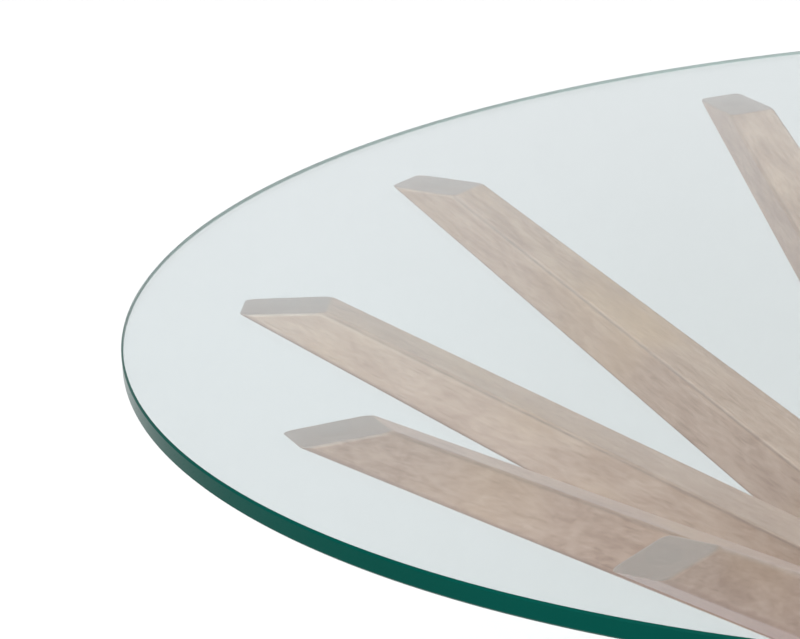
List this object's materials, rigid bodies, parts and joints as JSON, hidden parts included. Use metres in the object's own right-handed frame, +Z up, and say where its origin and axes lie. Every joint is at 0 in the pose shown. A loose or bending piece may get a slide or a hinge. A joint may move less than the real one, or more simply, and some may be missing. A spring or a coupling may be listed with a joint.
{
  "type": "round coffee table",
  "caption": "Low round table: a loose clear glass disc resting on tapered wooden arms that radiate up from a central hub, with matching splayed legs below.",
  "frame": {"origin": "on the floor, under the table's axis", "axes": "+Z up along the table's axis; +X along the first arm"},
  "size_m": [0.9999, 1, 0.45],
  "materials": {
    "clear_glass": "polished float glass with a green edge",
    "clear_pad": "clear soft pad",
    "arm_wood": "satin oiled",
    "leg_wood": "satin oiled",
    "hub_wood": "satin oiled",
    "plated_steel": "zinc plated",
    "insert_brass": "machined",
    "dowel_beech": "raw fluted dowel",
    "dark_glide": "moulded"
  },
  "bodies": {
    "base": {"bumper_pads": "clear_pad", "foot_glides": "dark_glide", "arm_01": "arm_wood", "arm_02": "arm_wood", "arm_03": "arm_wood", "arm_04": "arm_wood", "arm_05": "arm_wood", "arm_06": "arm_wood", "arm_07": "arm_wood", "arm_08": "arm_wood", "arm_09": "arm_wood", "arm_10": "arm_wood", "arm_11": "arm_wood", "arm_12": "arm_wood", "leg_01": "leg_wood", "leg_02": "leg_wood", "leg_03": "leg_wood", "leg_04": "leg_wood", "leg_05": "leg_wood", "leg_06": "leg_wood", "leg_07": "leg_wood", "leg_08": "leg_wood", "leg_09": "leg_wood", "leg_10": "leg_wood", "leg_11": "leg_wood", "leg_12": "leg_wood", "hub_core": "hub_wood", "hub_top_cap": "hub_wood", "hub_bottom_cap": "hub_wood", "tie_rod": "plated_steel", "rod_washers": "plated_steel", "cap_nuts": "plated_steel", "arm_bolts": "plated_steel", "arm_bolt_washers": "plated_steel", "leg_bolts": "plated_steel", "leg_bolt_washers": "plated_steel", "glide_screws": "plated_steel", "arm_inserts": "insert_brass", "leg_inserts": "insert_brass", "arm_dowels": "dowel_beech", "leg_dowels": "dowel_beech"},
    "top": {"glass_top": "clear_glass"}
  },
  "joints": [
    {"name": "glass_lift", "type": "slide", "parent": "base", "child": "top", "axis": [0, 0, 1], "range_m": [0, 0.2]}
  ]
}
